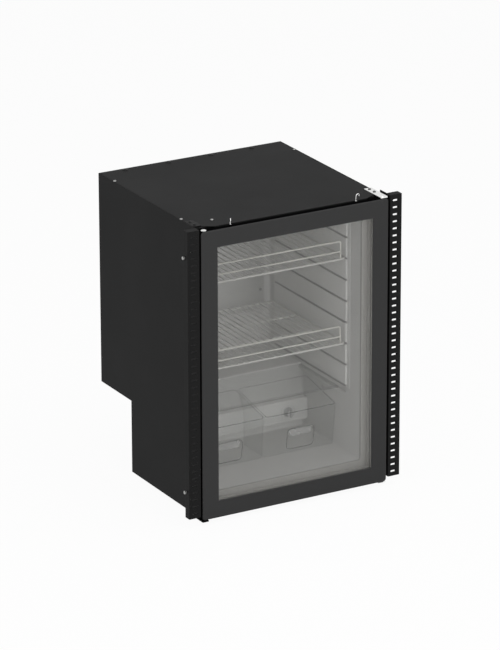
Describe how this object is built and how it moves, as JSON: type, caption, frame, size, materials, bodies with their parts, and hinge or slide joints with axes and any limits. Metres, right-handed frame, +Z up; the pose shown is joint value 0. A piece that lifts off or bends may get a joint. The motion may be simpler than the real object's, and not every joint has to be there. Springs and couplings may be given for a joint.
{
  "type": "outdoor refrigerator",
  "caption": "Built-in outdoor refrigerator with a stepped black casing, framed glass door, slotted side strips, wire shelves, crispers and a rear compressor bay.",
  "frame": {"origin": "on the floor, under the middle of the part's bounding box", "axes": "+X to the right seen from the front, +Y to the rear, +Z up; the door faces -Y"},
  "size_m": [0.612, 0.529, 0.7766],
  "materials": {
    "casing_black": "fine satin powder coat",
    "strip_black": "matt powder coat",
    "door_anthracite": "fine satin powder coat",
    "dark_plastic": "matt",
    "frame_grey": "satin, moulded",
    "black_trim": "matt",
    "spacer_bar": "satin anodised",
    "tinted_glass": "polished, grey tint",
    "seal_rubber": "matt",
    "liner_white": "satin, moulded",
    "clear_plastic": "clear",
    "shelf_wire": "plastic-coated wire",
    "bright_steel": "satin stainless",
    "black_screw": "black zinc",
    "plate_aluminium": "matt",
    "shell_black": "gloss enamel",
    "copper": "drawn copper tube",
    "foam": "rigid foam"
  },
  "bodies": {
    "cabinet": {"side_panel_left": "casing_black", "side_panel_right": "casing_black", "top_panel": "casing_black", "rear_panel": "casing_black", "step_panel": "casing_black", "recess_panel": "casing_black", "base_panel": "casing_black", "hinge_cover_left": "casing_black", "corner_bracket_left": "casing_black", "compressor_tray": "casing_black", "mounting_strip_left": "strip_black", "mounting_strip_right": "strip_black", "strip_standoffs": "strip_black", "control_box": "dark_plastic", "fan_shroud": "dark_plastic", "cable_inlet": "dark_plastic", "front_frame": "frame_grey", "feet": "seal_rubber", "compressor_grommets": "seal_rubber", "liner": "liner_white", "shelf_support_left": "liner_white", "shelf_support_right": "liner_white", "control_panel": "liner_white", "hinge_plate_top": "bright_steel", "hinge_plate_bottom": "bright_steel", "hinge_pins": "bright_steel", "hinge_screws": "bright_steel", "top_screws": "bright_steel", "strip_bolts": "bright_steel", "strip_screws": "bright_steel", "evaporator_screws": "bright_steel", "top_hooks": "bright_steel", "compressor_bolts": "bright_steel", "black_screws": "black_screw", "evaporator_plate": "plate_aluminium", "condenser": "plate_aluminium", "compressor": "shell_black", "suction_pipe": "copper", "discharge_pipe": "copper", "liquid_line": "copper", "filter_drier": "copper", "insulation": "foam"},
    "door": {"door_frame": "door_anthracite", "glazing_bead": "black_trim", "pane_outer": "tinted_glass", "pane_spacer": "spacer_bar", "pane_inner": "tinted_glass", "door_backing": "frame_grey", "door_gasket": "seal_rubber", "hinge_bushes": "dark_plastic", "hinge_hole_plug": "liner_white"},
    "knob": {"thermostat_knob": "liner_white"},
    "fan": {"fan_rotor": "dark_plastic"},
    "shelf_upper": {"wire_shelf_upper": "shelf_wire", "shelf_rail_upper": "shelf_wire"},
    "shelf_lower": {"wire_shelf_lower": "shelf_wire", "shelf_rail_lower": "shelf_wire"},
    "cover": {"crisper_cover": "clear_plastic"},
    "crisper_box_left": {"crisper_left": "clear_plastic"},
    "crisper_box_right": {"crisper_right": "clear_plastic"}
  },
  "joints": [
    {"name": "door_swing", "type": "hinge", "parent": "cabinet", "child": "door", "pos_m": [0.2505, -0.2535, 0.388], "axis": [0, 0, 1], "range_deg": [0, 105]},
    {"name": "knob_turn", "type": "hinge", "parent": "cabinet", "child": "knob", "pos_m": [0.147, 0.027, 0.1235], "axis": [0, 1, 0], "range_deg": [0, 270]},
    {"name": "fan_spin", "type": "hinge", "parent": "cabinet", "child": "fan", "pos_m": [-0.06, 0.1595, 0.089], "axis": [0, 1, 0], "continuous": true},
    {"name": "shelf_upper_slide", "type": "slide", "parent": "cabinet", "child": "shelf_upper", "axis": [0, -1, 0], "range_m": [0, 0.08]},
    {"name": "shelf_lower_slide", "type": "slide", "parent": "cabinet", "child": "shelf_lower", "axis": [0, -1, 0], "range_m": [0, 0.08]},
    {"name": "cover_slide", "type": "slide", "parent": "cabinet", "child": "cover", "axis": [0, -1, 0], "range_m": [0, 0.1]},
    {"name": "crisper_left_slide", "type": "slide", "parent": "cabinet", "child": "crisper_box_left", "axis": [0, -1, 0], "range_m": [0, 0.12]},
    {"name": "crisper_right_slide", "type": "slide", "parent": "cabinet", "child": "crisper_box_right", "axis": [0, -1, 0], "range_m": [0, 0.12]}
  ]
}
